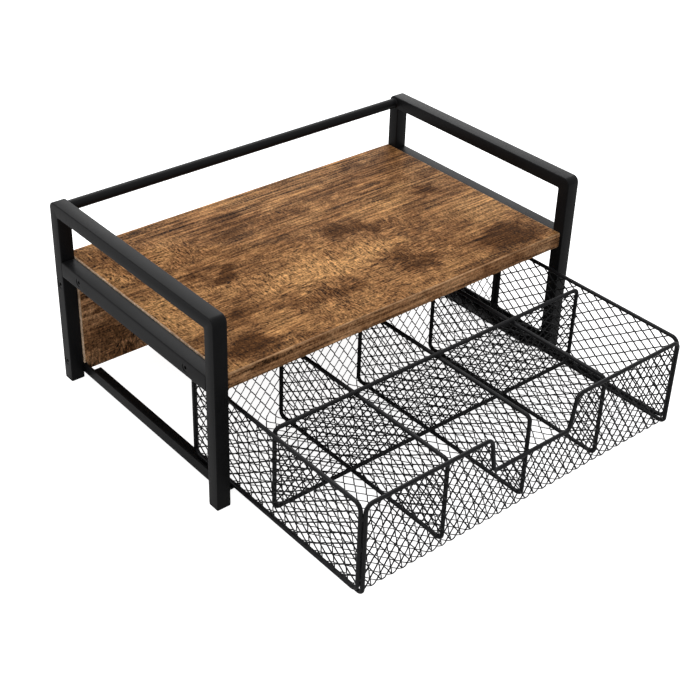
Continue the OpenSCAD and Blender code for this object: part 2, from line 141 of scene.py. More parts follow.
def addRange(tree, value, low, high, toLow=0.0, toHigh=1.0):
    node = addNode(tree, "ShaderNodeMapRange", {0: value, 1: low, 2: high, 3: toLow, 4: toHigh})
    return node.outputs[0]


def objectPlace(tree):
    return tree.nodes.new("ShaderNodeTexCoord").outputs["Object"]


def addNoise(tree, place, stretch, detail=2.0, roughness=0.5, distortion=0.0):
    mapped = addNode(tree, "ShaderNodeMapping", {0: place, "Scale": stretch})
    return addNode(tree, "ShaderNodeTexNoise", {
        "Vector": mapped.outputs[0], "Scale": 1.0, "Detail": detail,
        "Roughness": roughness, "Distortion": distortion,
    }).outputs["Fac"]


def addNoises(tree, place, recipes):
    return {name: addNoise(tree, place, *recipe) for name, recipe in recipes.items()}


# Each noise: scale along x, y and z, detail, roughness and distortion
coatNoises = {
    "peel": ((900, 900, 900), 3.0, 0.6),        # orange peel of the coat
    "speck": ((2600, 2600, 2600), 1.0, 0.5),
    "cloud": ((35, 35, 35), 3.0, 0.55),         # slow change of the coat's depth
}
coat = {"cloudShare": 0.6, "speckShare": 0.4, "toneLow": 0.35, "toneHigh": 0.75}


def makePowderCoat():
    tree, start, end = newGroup("powderCoat", [
        ("Paint", "NodeSocketColor", (0.03, 0.03, 0.032, 1)),
        ("Worn Paint", "NodeSocketColor", (0.07, 0.07, 0.072, 1)),
        ("Sheen Low", "NodeSocketFloat", 0.36),
        ("Sheen High", "NodeSocketFloat", 0.52),
    ], surfaceOutputs)
    given = start.outputs
    noises = addNoises(tree, objectPlace(tree), coatNoises)
    tone = addSum(tree, (noises["cloud"], coat["cloudShare"]), (noises["speck"], coat["speckShare"]))
    tone = addRange(tree, tone, coat["toneLow"], coat["toneHigh"])
    feed(tree, end.inputs["Colour"], addMix(tree, tone, given["Paint"], given["Worn Paint"]))
    rough = addBlend(tree, noises["cloud"], given["Sheen Low"], given["Sheen High"])
    feed(tree, end.inputs["Roughness"], rough)
    feed(tree, end.inputs["Height"], noises["peel"])
    return tree


# One soft spot of the board's print: dark where the force is over zero, light where it is under
spotSoft = {"outer": 1.45, "inner": 0.35}


def makeSpot():
    tree, start, end = newGroup("boardSpot", [
        ("Place", "NodeSocketVector", (0, 0, 0)),
        ("Middle", "NodeSocketVector", (0, 0, 0)),
        ("Half Size", "NodeSocketVector", (0.02, 0.01, 0.01)),
        ("Force", "NodeSocketFloat", 0.5),
    ], [("Mask", "NodeSocketFloat")])
    given = start.outputs
    away = addVector(tree, "SUBTRACT", given["Place"], given["Middle"])
    scaled = addVector(tree, "DIVIDE", away, given["Half Size"])
    far = addNode(tree, "ShaderNodeVectorMath", {0: scaled}, operation="LENGTH").outputs["Value"]
    soft = addNode(tree, "ShaderNodeMapRange", {
        0: far, 1: spotSoft["outer"], 2: spotSoft["inner"], 3: 0.0, 4: 1.0,
    }, interpolation_type="SMOOTHSTEP").outputs[0]
    feed(tree, end.inputs["Mask"], addMath(tree, "MULTIPLY", soft, given["Force"]))
    return tree


woodNoises = {
    "patch": ((17, 30, 30), 3.0, 0.55, 1.0),         # broad light and dark patches
    "cloud": ((52, 78, 78), 4.0, 0.6, 1.2),
    "comb": ((620, 170, 170), 3.0, 0.65, 0.9),       # saw marks across the board
    "thread": ((110, 620, 620), 3.0, 0.65, 0.4),     # short threads along it
    "streak": ((15, 380, 380), 4.0, 0.7, 0.25),      # long grain
    "fuzz": ((640, 640, 640), 2.0, 0.6),
    "longPlaces": ((6, 16, 16), 2.0),                # where the long grain shows
    "combPlaces": ((30, 40, 40), 2.0),
    "crack": ((6, 190, 190), 5.0, 0.7, 0.15),
}
# Ranges are low and high, or low, high and what they become
wood = {
    "patchShare": 0.62,
    "cloudShare": 0.5,
    "spotShare": 0.17,
    "tone": (0.30, 0.80),
    "longPlaces": (0.40, 0.58),
    "combPlaces": (0.42, 0.56),
    "longToRight": 2.6,              # the long grain gathers at the right and at the rear
    "longToRear": (-0.03, 0.15, -0.2, 0.2),
    "lineShare": 0.68,
    "fuzzShare": 0.32,
    "grain": (0.37, 0.63, -1.1, 1.1),
    "grainShare": 0.16,
    "toBrown": (0.0, 0.5),
    "toTan": (0.45, 1.0),
    "crackWidth": (0.012, 0.0),
    "crackPlaces": (0.60, 0.44),
    "crackLeast": 0.25,
    "crackForce": 0.6,
    "crackColour": (0.028, 0.013, 0.007, 1),
    "streakHeight": 0.6,
    "crackDepth": 0.8,
    "roughness": (0.0, 1.0, 0.66, 0.52),
    "gloss": 0.04,
}


def makeSawnBoard():
    tree, start, end = newGroup("sawnBoard", [
        ("Dark", "NodeSocketColor", (0.068, 0.026, 0.007, 1)),
        ("Brown", "NodeSocketColor", (0.215, 0.098, 0.036, 1)),
        ("Tan", "NodeSocketColor", (0.44, 0.226, 0.083, 1)),
        ("Spots", "NodeSocketFloat", 0.0),
        ("Shift", "NodeSocketFloat", 0.0),
        ("Grain", "NodeSocketFloat", 1.0),
        ("Long Grain", "NodeSocketFloat", 0.0),
    ], surfaceOutputs)
    given = start.outputs
    raw = objectPlace(tree)
    shift = addNode(tree, "ShaderNodeCombineXYZ", {0: given["Shift"]})
    noises = addNoises(tree, addVector(tree, "ADD", raw, shift.outputs[0]), woodNoises)
    tone = addSum(tree, (noises["patch"], wood["patchShare"]), (noises["cloud"], wood["cloudShare"]),
                  (given["Spots"], -wood["spotShare"]))
    share = addRange(tree, tone, *wood["tone"])

    # Fine lines: saw marks across in some places, long grain in others
    sides = addNode(tree, "ShaderNodeSeparateXYZ", {0: raw})
    long = addSum(tree, (addRange(tree, noises["longPlaces"], *wood["longPlaces"]), 1),
                  (sides.outputs[0], wood["longToRight"]),
                  (addRange(tree, sides.outputs[1], *wood["longToRear"]), 1))
    long = addMath(tree, "ADD", long, given["Long Grain"], clamp=True)
    crossed = addRange(tree, noises["combPlaces"], *wood["combPlaces"])
    short = addBlend(tree, crossed, noises["thread"], noises["comb"])
    lines = addBlend(tree, long, short, noises["streak"])
    fine = addSum(tree, (lines, wood["lineShare"]), (noises["fuzz"], wood["fuzzShare"]))
    grain = addMath(tree, "MULTIPLY", addRange(tree, fine, *wood["grain"]), given["Grain"])
    share = addSum(tree, (share, 1), (grain, wood["grainShare"]))

    darkToBrown = addMix(tree, addRange(tree, share, *wood["toBrown"]), given["Dark"], given["Brown"])
    colour = addMix(tree, addRange(tree, share, *wood["toTan"]), darkToBrown, given["Tan"])
    gain = addMath(tree, "ADD", grain, 1.0)
    gain = addNode(tree, "ShaderNodeCombineXYZ", {0: gain, 1: gain, 2: gain})
    colour = addVector(tree, "MULTIPLY", colour, gain.outputs[0])

    # Thin dark cracks along the grain
    fromLine = addMath(tree, "ABSOLUTE", addMath(tree, "SUBTRACT", noises["crack"], 0.5))
    crack = addMath(tree, "MULTIPLY", addRange(tree, fromLine, *wood["crackWidth"]),
                    addRange(tree, noises["cloud"], *wood["crackPlaces"]))
    crack = addMath(tree, "MULTIPLY", crack, addMath(tree, "ADD", long, wood["crackLeast"], clamp=True))
    colour = addMix(tree, addMath(tree, "MULTIPLY", crack, wood["crackForce"]), colour, wood["crackColour"])

    height = addSum(tree, (fine, 1), (noises["streak"], wood["streakHeight"]), (crack, -wood["crackDepth"]))
    feed(tree, end.inputs["Colour"], colour)
    feed(tree, end.inputs["Roughness"], addRange(tree, share, *wood["roughness"]))
    feed(tree, end.inputs["Height"], height)
    return tree


boardSpot = makeSpot()
powderCoat = makePowderCoat()
sawnBoard = makeSawnBoard()


# Materials

def finishedMaterial(name, group, looks):
    material = bpy.data.materials.new(name)
    material.use_nodes = True
    tree = material.node_tree
    shader = tree.nodes["Principled BSDF"]
    effect = addNode(tree, "ShaderNodeGroup", node_tree=group)
    for label, value in looks.items():
        if label in effect.inputs:
            effect.inputs[label].default_value = value
    bump = addNode(tree, "ShaderNodeBump", {"Height": effect.outputs["Height"], "Strength": 1.0,
                                            "Distance": looks["bumpDepth"]})
    feed(tree, shader.inputs["Base Color"], effect.outputs["Colour"])
    feed(tree, shader.inputs["Roughness"], effect.outputs["Roughness"])
    feed(tree, shader.inputs["Normal"], bump.outputs["Normal"])
    shader.inputs["Specular IOR Level"].default_value = looks["gloss"]
    return material


finishes = {
    "frameSteel": {"Paint": (0.005, 0.005, 0.0055, 1), "Worn Paint": (0.011, 0.011, 0.0115, 1),
                   "gloss": 0.08, "bumpDepth": 0.00004},
    "drawerWire": {"Paint": (0.005, 0.005, 0.006, 1), "Worn Paint": (0.011, 0.011, 0.012, 1),
                   "gloss": 0.14, "bumpDepth": 0.00003},
    "drawerNet": {"Paint": (0.005, 0.005, 0.006, 1), "Worn Paint": (0.011, 0.011, 0.012, 1),
                  "gloss": 0.15, "bumpDepth": 0.00002},
    "screwSteel": {"Paint": (0.004, 0.004, 0.004, 1), "Worn Paint": (0.014, 0.014, 0.015, 1),
                   "Sheen Low": 0.28, "Sheen High": 0.45, "gloss": 0.1, "bumpDepth": 0.00001},
    "plugPlastic": {"Paint": (0.006, 0.006, 0.006, 1), "Worn Paint": (0.010, 0.010, 0.010, 1),
                    "Sheen Low": 0.55, "Sheen High": 0.7, "gloss": 0.15, "bumpDepth": 0.00003},
}
frameSteel, drawerWire, drawerNet, screwSteel, plugPlastic = [
    finishedMaterial(name, powderCoat, looks) for name, looks in finishes.items()]

boardLooks = {
    "boardTop": {"bumpDepth": 0.00012},
    # Painted light: the panel's wood is lighter than the top board's, making up for the shade it gets under
    # the shelf
    "boardPanel": {"Dark": (0.12, 0.050, 0.018, 1), "Brown": (0.34, 0.168, 0.076, 1),
                   "Tan": (0.66, 0.38, 0.20, 1), "Shift": 0.73, "bumpDepth": 0.00012},
    # Painted light: the edges' wood is lighter than the top's, making up for the weaker light the edge faces
    # get
    "boardEdge": {"Dark": (0.14, 0.056, 0.021, 1), "Brown": (0.35, 0.17, 0.075, 1),
                  "Tan": (0.60, 0.34, 0.17, 1), "Grain": 0.8, "Long Grain": 2.0, "bumpDepth": 0.00008},
    "boardRim": {"Dark": (0.20, 0.10, 0.045, 1), "Brown": (0.42, 0.23, 0.115, 1),
                 "Tan": (0.60, 0.37, 0.20, 1), "Grain": 0.4, "Long Grain": 2.0, "bumpDepth": 0.00005},
    "boardEnd": {"Dark": (0.38, 0.24, 0.15, 1), "Brown": (0.62, 0.44, 0.30, 1),
                 "Tan": (0.72, 0.55, 0.40, 1), "Grain": 0.5, "bumpDepth": 0.00008},
}
boardTop, boardPanel, boardEdge, boardRim, boardEnd = [
    finishedMaterial(name, sawnBoard, {"gloss": wood["gloss"], **looks})
    for name, looks in boardLooks.items()]

# Middle and half size of each spot in millimetres, and its force
topSpots = [
    ((-84, 65, 105), (10, 7, 6), 2.3), ((-30, 124, 105), (34, 20, 9), 1.0),
    ((25, 70, 105), (18, 13, 9), 1.5), ((47, 60, 105), (16, 10, 9), 1.4), ((121, 79, 105), (16, 9, 9), 1.6),
    ((112, 136, 105), (36, 16, 9), 0.8), ((41, 3, 105), (22, 17, 9), 1.6),
    ((122, -13, 105), (28, 18, 9), 1.9), ((-106, 77, 105), (14, 10, 9), 1.2),
    ((-121, -20, 105), (20, 14, 9), 2.2), ((-59, 0, 105), (24, 9, 9), 0.9),
    ((-24, -1, 105), (20, 9, 9), 0.9), ((-109, 13, 105), (14, 10, 9), 1.0),
    ((3, 31, 105), (40, 11, 9), -1.2), ((-50, 34, 105), (30, 12, 9), -1.0),
    ((135, 30, 105), (34, 22, 9), -0.8), ((-140, 30, 105), (20, 40, 9), -0.8),
    ((-90, 126, 105), (22, 18, 9), -0.4),
]
panelSpots = [
    ((-118, 150, 66), (16, 9, 20), 1.0), ((-84, 150, 52), (14, 9, 16), 0.9),
    ((-30, 150, 60), (28, 9, 14), 0.8), ((60, 150, 40), (34, 9, 14), 0.9),
    ((110, 150, 72), (20, 9, 9), 1.1), ((10, 163, 50), (30, 9, 16), 0.9),
    ((-100, 163, 40), (24, 9, 12), 1.1), ((95, 163, 66), (26, 9, 10), 0.8),
]
# The noise that frays the spots' outlines, and how far it moves them
spotFray = {"scale": 48.0, "detail": 4.0, "roughness": 0.6, "reach": (0.046, 0.040, 0.036)}


def addSpots(material, spots):
    tree = material.node_tree
    raw = objectPlace(tree)
    wild = addNode(tree, "ShaderNodeTexNoise", {
        "Vector": raw, "Scale": spotFray["scale"], "Detail": spotFray["detail"],
        "Roughness": spotFray["roughness"],
    }).outputs["Color"]
    moved = addVector(tree, "MULTIPLY", addVector(tree, "SUBTRACT", wild, (0.5, 0.5, 0.5)), spotFray["reach"])
    place = addVector(tree, "ADD", raw, moved)
    masks = []
    for middle, half, force in spots:
        spot = addNode(tree, "ShaderNodeGroup", {
            "Place": place, "Middle": Vector(middle) * mm, "Half Size": Vector(half) * mm, "Force": force,
        }, node_tree=boardSpot)
        masks.append((spot.outputs["Mask"], 1))
    effect = next(n for n in tree.nodes if n.type == "GROUP" and n.node_tree == sawnBoard)
    feed(tree, effect.inputs["Spots"], addSum(tree, *masks))


addSpots(boardTop, topSpots)
addSpots(boardPanel, panelSpots)
print("materials made")


# Mesh tools

def faceOutwards(mesh):
    bm = bmesh.new()
    bm.from_mesh(mesh)
    bmesh.ops.recalc_face_normals(bm, faces=bm.faces)
    bm.to_mesh(mesh)
    bm.free()


# A mesh from points in millimetres
def meshOf(verts, faces, name):
    mesh = bpy.data.meshes.new(name)
    mesh.from_pydata([tuple(Vector(v) * mm) for v in verts], [], faces)
    faceOutwards(mesh)
    return mesh


def finishPiece(name, mesh, body, replaced, sharpAngle=38):
    mesh.validate()
    mesh.shade_smooth()
    mesh.set_sharp_from_angle(angle=math.radians(sharpAngle))
    piece = bpy.data.objects.new(name, mesh)
    scene.collection.objects.link(piece)
    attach(piece, body)
    if replaced:
        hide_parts(*replaced)
    return piece


def makePiece(name, shape, material, body, replaced, sharpAngle=38):
    mesh = meshOf(*shape, name)
    mesh.materials.append(material)
    return finishPiece(name, mesh, body, replaced, sharpAngle)


def boxInMm(node):
    low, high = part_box(node)
    return low / mm, high / mm


# Several shapes, each of points and faces, as one
def joined(shapes):
    verts, faces = [], []
    for points, flats in shapes:
        base = len(verts)
        verts += points
        faces += [tuple(base + i for i in flat) for flat in flats]
    return verts, faces


# Faces between rings of points that lie one after the other
def bandFaces(rings, sides, closed=False, capped=True):
    faces = []
    for r in range(rings if closed else rings - 1):
        s = (r + 1) % rings
        for k in range(sides):
            m = (k + 1) % sides
            faces.append((r * sides + k, r * sides + m, s * sides + m, s * sides + k))
    if capped and not closed:
        faces.append(tuple(reversed(range(sides))))
        faces.append(tuple((rings - 1) * sides + k for k in range(sides)))
    return faces


def circle(radius, level, sides):
    turns = [2 * math.pi * k / sides for k in range(sides)]
    return [Vector((radius * math.cos(a), radius * math.sin(a), level)) for a in turns]


# The parts of a mesh that hang together
def linkedGroups(items, neighboursOf):
    left = dict.fromkeys(items)
    groups = []
    while left:
        group, waiting = [], [left.popitem()[0]]
        while waiting:
            here = waiting.pop()
            group.append(here)
            for other in neighboursOf(here):
                if other in left:
                    del left[other]
                    waiting.append(other)
        groups.append(group)
    return groups


# How the flat outline and the height of a slab lie in the frame
def heightAlongX(a, b, c):
    return Vector((c, a, b))


def heightAlongY(a, b, c):
    return Vector((a, c, b))


def heightAlongZ(a, b, c):
    return Vector((a, b, c))


def roundedPath(corners, radii, closed, steps=10):
    points = []
    count = len(corners)
    for i, corner in enumerate(corners):
        here = Vector(corner)
        if not closed and i in (0, count - 1):
            points.append(here)
            continue
        back = (Vector(corners[i - 1]) - here).normalized()
        on = (Vector(corners[(i + 1) % count]) - here).normalized()
        between = back.angle(on)
        turn = math.pi - between
        middle = here + (back + on).normalized() * radii[i] / math.sin(between / 2)
        first = here + back * radii[i] / math.tan(between / 2) - middle
        last = here + on * radii[i] / math.tan(between / 2) - middle
        axis = first.cross(last).normalized()
        for k in range(steps + 1):
            points.append(middle + Matrix.Rotation(turn * k / steps, 3, axis) @ first)
    return points


def sweptTube(points, radius, closed, sides=14):
    count = len(points)
    tangents = []
    for i in range(count):
        before = points[i - 1] if closed or i > 0 else points[i]
        after = points[(i + 1) % count] if closed or i < count - 1 else points[i]
        tangents.append((after - before).normalized())
    across = tangents[0].orthogonal().normalized()
    verts = []
    for i in range(count):
        if i > 0:
            across = tangents[i - 1].rotation_difference(tangents[i]) @ across
        up = tangents[i].cross(across)
        for k in range(sides):
            a = 2 * math.pi * k / sides
            verts.append(points[i] + (across * math.cos(a) + up * math.sin(a)) * radius)
    return verts, bandFaces(count, sides, closed)


def insetOutline(outline, inset):
    moved = []
    count = len(outline)
    for i, here in enumerate(outline):
        before = Vector(here) - Vector(outline[i - 1])
        after = Vector(outline[(i + 1) % count]) - Vector(here)
        n1 = Vector((-before.y, before.x)).normalized()
        n2 = Vector((-after.y, after.x)).normalized()
        moved.append(Vector(here) + (n1 + n2) * inset / (1 + n1.dot(n2)))
    return moved


def roundedOutline(corners, radii, steps=8):
    points = []
    count = len(corners)
    for i in range(count):
        if radii[i] == 0:
            points.append(Vector(corners[i]))
            continue
        bent = roundedPath([(*corners[i - 1], 0), (*corners[i], 0), (*corners[(i + 1) % count], 0)],
                           [0, radii[i], 0], False, steps)
        points += [p.to_2d() for p in bent[1:-1]]
    return points


def roundedBox(x0, y0, x1, y1, radius, steps):
    return roundedOutline([(x0, y0), (x1, y0), (x1, y1), (x0, y1)], [radius] * 4, steps)


# A slab of the given outline, counter-clockwise, with rounded rims on both faces
def roundedSlab(outline, low, high, rim, place, steps=3):
    count = len(outline)
    rings = []
    for k in range(steps + 1):
        a = math.pi / 2 * k / steps
        rings.append((rim * (1 - math.sin(a)), low + rim * (1 - math.cos(a))))
    rings += [(inset, low + high - level) for inset, level in reversed(rings)]
    verts = []
    for inset, level in rings:
        verts += [place(p.x, p.y, level) for p in insetOutline(outline, inset)]
    return verts, bandFaces(len(rings), count)


def turnedShape(profile, sides=32):
    verts = [v for radius, level in profile for v in circle(radius, level, sides)]
    return verts, bandFaces(len(profile), sides)


# Side frames: three mitred tubes each

tubes = {
    "cornerRadius": 5.0,
    "innerRadius": 0.9,
    "rim": 0.7,
    "endRim": 0.15,
    "sharpAngle": 30,
}


# Cuts off what lies on the normal's side of a plane and closes the cut
def keepSide(mesh, point, normal):
    bm = bmesh.new()
    bm.from_mesh(mesh)
    everything = bm.verts[:] + bm.edges[:] + bm.faces[:]
    bmesh.ops.bisect_plane(bm, geom=everything, dist=1e-7, plane_co=point, plane_no=normal,
                           clear_outer=True)
    rims = [e for e in bm.edges if e.is_boundary]
    bmesh.ops.contextual_create(bm, geom=rims)
    bmesh.ops.recalc_face_normals(bm, faces=bm.faces)
    bm.to_mesh(mesh)
    bm.free()


def cutAway(piece, cutters):
    for verts, faces in cutters:
        cutter = bpy.data.objects.new("cutter", meshOf(verts, faces, "cutter"))
        scene.collection.objects.link(cutter)
        cut = piece.modifiers.new("cut", "BOOLEAN")
        cut.operation = "DIFFERENCE"
        cut.solver = "EXACT"
        cut.object = cutter
        evaluated = piece.evaluated_get(bpy.context.evaluated_depsgraph_get())
        ready = bpy.data.meshes.new_from_object(evaluated)
        piece.modifiers.clear()
        piece.data = ready
        bpy.data.objects.remove(cutter)
    piece.data.shade_smooth()
    piece.data.set_sharp_from_angle(angle=math.radians(tubes["sharpAngle"]))


screws = {
    "headDiameter": 6.0,
    "shaftDiameter": 3.4,
    "length": 28.0,
    "socket": 2.9,
    "socketDepth": 1.2,
    "sunk": 0.35,
    "holeDiameter": 6.5,
    "sinkDepth": 1.55,
    "boreClear": 0.1,
    "boreDepth": 13.0,
    "overcut": 0.5,          # how far the hole's cutter stands out of the steel
    "sharpAngle": 32,
}


# The countersunk hole of a screw in the steel
def screwPocket(side, y, z, outerX):
    hole, bore = screws["holeDiameter"] / 2, screws["shaftDiameter"] / 2 + screws["boreClear"]
    over = screws["overcut"]
    verts, faces = turnedShape([(hole + over, -over), (hole, 0), (bore, screws["sinkDepth"]),
                                (bore, screws["boreDepth"])])
    return [Vector((side * (outerX - v.z), y + v.x, z + v.y)) for v in verts], faces


# Side, y and z of each screw of a node, and how far out its head ends
def screwPlaces(node):
    bm = bmesh.new()
    bm.from_mesh(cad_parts[node].data)
    bmesh.ops.remove_doubles(bm, verts=bm.verts, dist=1e-6)
    places = []
    for group in linkedGroups(bm.verts, lambda v: [e.other_vert(v) for e in v.link_edges]):
        low = Vector([min(v.co[i] for v in group) for i in range(3)]) / mm
        high = Vector([max(v.co[i] for v in group) for i in range(3)]) / mm
        places.append((1 if low.x > 0 else -1, (low.y + high.y) / 2, (low.z + high.z) / 2,
                       max(abs(low.x), abs(high.x))))
    bm.free()
    return sorted(places)


shelfScrewPlaces = screwPlaces("shelf_screws")
panelScrewPlaces = screwPlaces("panel_screws")


def makeSideFrame(word, side):
    frontLow, frontHigh = boxInMm(word + "_front_leg")
    backHigh = boxInMm(word + "_rear_leg")[1]
    top = boxInMm(word + "_top_rail")[1].z
    y0, y1 = frontLow.y, backHigh.y
    deep = frontHigh.y - frontLow.y
    foot = frontLow.z
    r, ri = tubes["cornerRadius"], tubes["innerRadius"]
    outline = roundedOutline(
        [(y0, foot), (y0 + deep, foot), (y0 + deep, top - deep), (y1 - deep, top - deep),
         (y1 - deep, foot), (y1, foot), (y1, top), (y0, top)],
        [0, 0, ri, ri, 0, 0, r, r])
    shape = roundedSlab(outline, frontLow.x, frontHigh.x, tubes["rim"], heightAlongX)
    middle = (y0 + y1) / 2
    pieces = []
    for node, cuts in (
            (word + "_front_leg", [((y0, top), (1, 1))]),
            (word + "_top_rail", [((y0, top), (-1, -1)), ((y1, top), (1, -1))]),
            (word + "_rear_leg", [((y1, top), (-1, 1))])):
        mesh = meshOf(*shape, node + "_tube")
        for (py, pz), (ny, nz) in cuts:
            keepSide(mesh, Vector((0, py, pz)) * mm, Vector((0, ny, nz)))
        if "leg" in node:                      # the other leg of the same outline comes off
            keepSide(mesh, Vector((0, middle, 0)) * mm, Vector((0, 1 if "front" in node else -1, 0)))
        mesh.materials.append(frameSteel)
        pieces.append(finishPiece(node + "_tube", mesh, "stand", [node], tubes["sharpAngle"]))
    cutAway(pieces[2], [screwPocket(*p) for p in panelScrewPlaces if p[0] == side])


def makeShelfRail(word, side):
    node = word + "_shelf_rail"
    low, high = boxInMm(node)
    outline = roundedBox(low.x, low.z, high.x, high.z, tubes["rim"], 4)
    shape = roundedSlab(outline, low.y, high.y, tubes["endRim"], heightAlongY, 1)
    rail = makePiece(node + "_tube", shape, frameSteel, "stand", [node], tubes["sharpAngle"])
    cutAway(rail, [screwPocket(*p) for p in shelfScrewPlaces if p[0] == side])


for word, side in (("left", -1), ("right", 1)):
    makeSideFrame(word, side)
    makeShelfRail(word, side)
print("side frames made")


# Back rod with its welds

rod = {"flare": 0.8, "weldLength": 1.4, "sides": 40}


def makeBackRod():
    low, high = boxInMm("back_rod")
    radius = (high.z - low.z) / 2
    y, z = (low.y + high.y) / 2, (low.z + high.z) / 2
    ends = []
    for k in range(6):
        a = math.pi / 2 * k / 5
        ends.append((radius + rod["flare"] * (1 - math.sin(a)), rod["weldLength"] * (1 - math.cos(a))))
    span = high.x - low.x
    profile = ends + [(r, span - level) for r, level in reversed(ends)]
    verts, faces = turnedShape(profile, rod["sides"])
    verts = [Vector((low.x + v.z, y + v.x, z + v.y)) for v in verts]
    makePiece("back_rod_bar", (verts, faces), frameSteel, "stand", ["back_rod"])


makeBackRod()


# Drawer runners: folded sheet with a bend between wall and ledge

runner = {"sheet": 1.5, "bend": 2.0, "innerBend": 0.8, "rim": 0.25, "cutRim": 0.05, "cutOver": 1.0}


def makeRunner(word, side):
    node = word + "_drawer_runner"
    low, high = boxInMm(node)
    legHigh, panelLow = boxInMm(word + "_front_leg")[1], boxInMm("back_panel")[0]
    t, over = runner["sheet"], runner["cutOver"]
    near, far = (low.x, high.x) if side > 0 else (-high.x, -low.x)
    outline = roundedOutline(
        [(near, low.z), (far, low.z), (far, high.z), (far - t, high.z), (far - t, low.z + t),
         (near, low.z + t)],
        [0, runner["bend"], 0, 0, runner["innerBend"], 0], 6)

    def place(a, b, c):
        return Vector((side * a, c, b))

    shape = roundedSlab(outline, low.y, high.y, runner["rim"], place, 2)
    piece = makePiece(word + "_runner_sheet", shape, frameSteel, "stand", [node],
                      tubes["sharpAngle"])
    # The ledge ends at the legs and at the panel, and only the upright side runs on
    x0, x1 = near - over, far - t
    z0, z1 = low.z - over, low.z + t + over
    ledge = [Vector((x0, z0)), Vector((x1, z0)), Vector((x1, z1)), Vector((x0, z1))]
    cutAway(piece, [roundedSlab(ledge, y0, y1, runner["cutRim"], place, 1)
                    for y0, y1 in ((low.y - over, legHigh.y), (panelLow.y, high.y + over))])


for word, side in (("left", -1), ("right", 1)):
    makeRunner(word, side)
print("rod and runners made")


# Shelf board and back panel

boards = {
    "rim": 0.9,
    "cornerRadius": 1.0,
    "sharpAngle": 50,
    "faceFlat": 0.985,       # how straight a face looks along the board's thickness
    "edgeFlat": 0.17,
    "endFlat": 0.4,
    "stepX": 1.8,            # the panel's lower corners stand back beside the runners
    "stepZ": 0.3,
}


def makeBoard(node, name, material, outline, low, high, place):
    mesh = meshOf(*roundedSlab(outline, low, high, boards["rim"], place), name)
    for finish in (material, boardEdge, boardRim, boardEnd):
        mesh.materials.append(finish)
    thin = 2 if node == "shelf_board" else 1
    for face in mesh.polygons:
        flat = abs(face.normal[thin])
        if flat > boards["faceFlat"]:
            face.material_index = 0
        elif abs(face.normal.x) > boards["endFlat"]:      # the ends beside the steel, in the lightest finish
            face.material_index = 3
        else:
            face.material_index = 1 if flat < boards["edgeFlat"] else 2
    finishPiece(name, mesh, "stand", [node], boards["sharpAngle"])


def makeBoards():
    low, high = boxInMm("shelf_board")
    outline = roundedBox(low.x, low.y, high.x, high.y, boards["cornerRadius"], 4)
    makeBoard("shelf_board", "shelf_board_wood", boardTop, outline, low.z, high.z, heightAlongZ)
    low, high = boxInMm("back_panel")
    x0, x1 = low.x + boards["stepX"], high.x - boards["stepX"]
    z = boxInMm("right_drawer_runner")[1].z + boards["stepZ"]
    outline = roundedOutline([(x0, low.z), (x1, low.z), (x1, z), (high.x, z), (high.x, high.z),
                              (low.x, high.z), (low.x, z), (x0, z)], [0] * 8)
    makeBoard("back_panel", "back_panel_wood", boardPanel, outline, low.y, high.y, heightAlongY)


makeBoards()
print("boards made")


# Screws with a hexagon socket

def hexRing(size, level, sides):
    ring = []
    for k in range(sides):
        a = 2 * math.pi * k / sides
        inSector = (a % (math.pi / 3)) - math.pi / 6
        radius = size / 2 * math.cos(math.pi / 6) / math.cos(inSector)
        ring.append(Vector((radius * math.cos(a), radius * math.sin(a), level)))
    return ring


def oneScrew():
    sides = 24
    head, shaft, length = screws["headDiameter"] / 2, screws["shaftDiameter"] / 2, screws["length"]
    socket, depth = screws["socket"], screws["socketDepth"]
    rings = [hexRing(size, level, sides) for size, level in (
        (socket * 0.55, depth), (socket, depth - 0.1), (socket, 0.12), (socket + 0.3, 0.0))]
    rings += [circle(radius, level, sides) for radius, level in (
        (head - 0.35, 0.0), (head - 0.12, 0.05), (head, 0.2), (head - 0.02, 0.32), (shaft, 1.4),
        (shaft, length - 6), (shaft * 0.75, length - 4.5), (0.35, length - screws["sunk"]))]
    return [v for ring in rings for v in ring], bandFaces(len(rings), sides)


def makeScrews(node, name, places):
    shapes = []
    for side, y, z, outerX in places:
        verts, faces = oneScrew()
        shapes.append(([Vector((side * (outerX - screws["sunk"] - v.z), y + v.x, z + v.y)) for v in verts],
                       faces))
    makePiece(name, joined(shapes), screwSteel, "stand", [node], screws["sharpAngle"])


makeScrews("shelf_screws", "shelf_socket_screws", shelfScrewPlaces)
makeScrews("panel_screws", "panel_socket_screws", panelScrewPlaces)


# Foot plugs: a sole under each leg and a peg inside it

plugs = {
    "deep": 10,
    "corner": 0.9,
    "soleRim": 0.3,
    "pegInset": 1.7,
    "pegCorner": 0.6,
    "ribStep": 3.0,
    "ribRim": 0.35,
    "sharpAngle": 32,
}


def makePlugs():
    top = boxInMm("foot_plugs")[1].z
    inset, step = plugs["pegInset"], plugs["ribStep"]
    shapes = []
    for word in ("left_front_leg", "right_front_leg", "left_rear_leg", "right_rear_leg"):
        low, high = boxInMm(word)
        y0, y1 = (low.y, low.y + plugs["deep"]) if "front" in word else (high.y - plugs["deep"], high.y)
        sole = roundedBox(low.x, y0, high.x, y1, plugs["corner"], 4)
        shapes.append(roundedSlab(sole, 0.0, low.z, plugs["soleRim"], heightAlongZ, 2))
        peg = roundedBox(low.x + inset, y0 + inset, high.x - inset, y1 - inset, plugs["pegCorner"], 3)
        level = low.z
        while level + step <= top:
            shapes.append(roundedSlab(peg, level, level + step, plugs["ribRim"], heightAlongZ, 2))
            level += step
    makePiece("foot_plug_set", joined(shapes), plugPlastic, "stand", ["foot_plugs"],
              plugs["sharpAngle"])


makePlugs()
print("screws and plugs made")


# Drawer wires

wires = {
    "diameter": 3.0,
    "bend": 5.5,
    "tightBend": 4.0,
    "notchTop": 80.0,
    "notchBottom": 71.0,
    "notchDepth": 27.5,
    "sides": 16,
    "bendSteps": 12,
}
wireR = wires["diameter"] / 2


